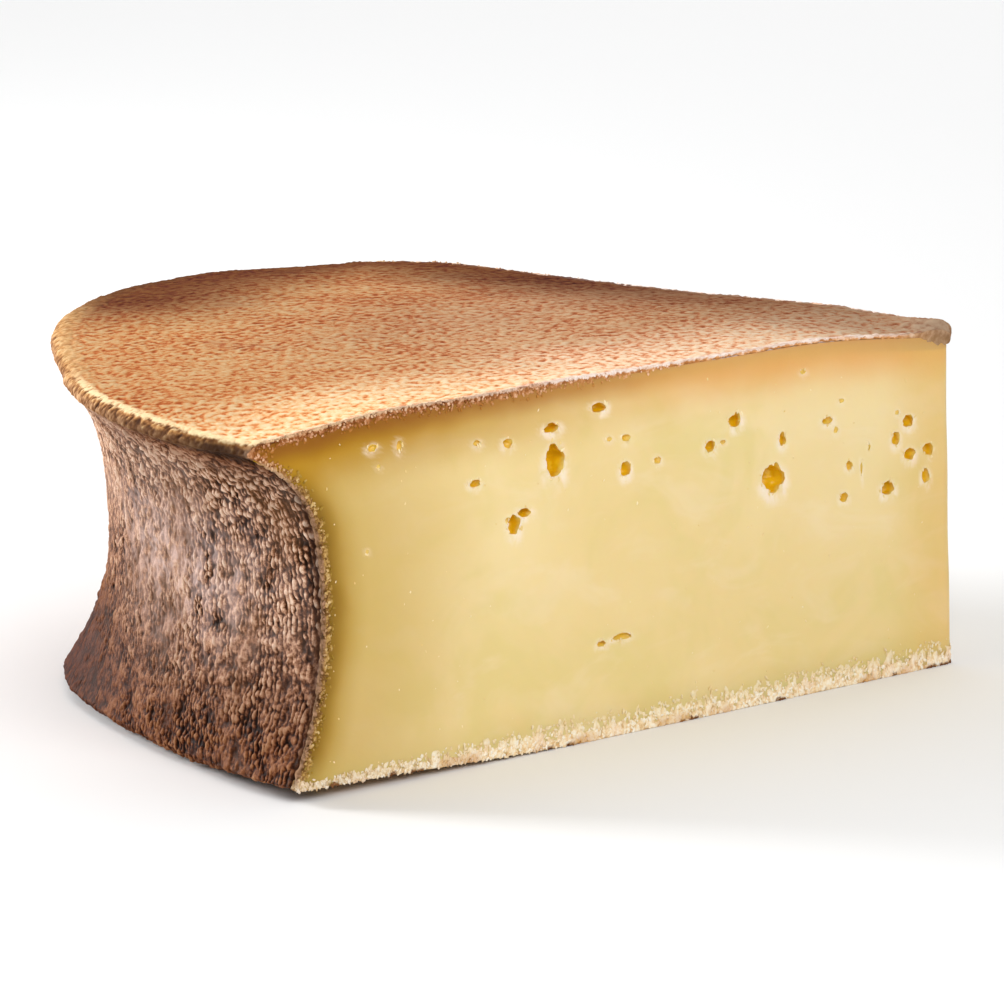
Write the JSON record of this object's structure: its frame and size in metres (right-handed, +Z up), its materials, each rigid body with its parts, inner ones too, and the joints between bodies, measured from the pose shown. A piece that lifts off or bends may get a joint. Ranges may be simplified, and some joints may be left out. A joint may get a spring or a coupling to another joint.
{
  "type": "abondance cheese",
  "caption": "Quarter wheel of hard mountain cheese with a hollow cloth-marked heel, a washed rind and flat cuts with small eyes, standing on its base.",
  "frame": {"origin": "on the surface that the piece stands on, under the middle of the piece's box", "axes": "+X from the rounded heel to the tip, +Z up, +Y towards the cut that the picture does not show; the cut that it shows runs from the tip to the heel on the -Y side"},
  "size_m": [0.1974, 0.282, 0.0772],
  "materials": {
    "cheese": "pale yellow paste on the cuts, dry mottled orange-brown rind on the top, brown cloth-marked rind on the heel"
  },
  "bodies": {
    "root": {"cheese_quarter": "cheese"}
  },
  "joints": []
}
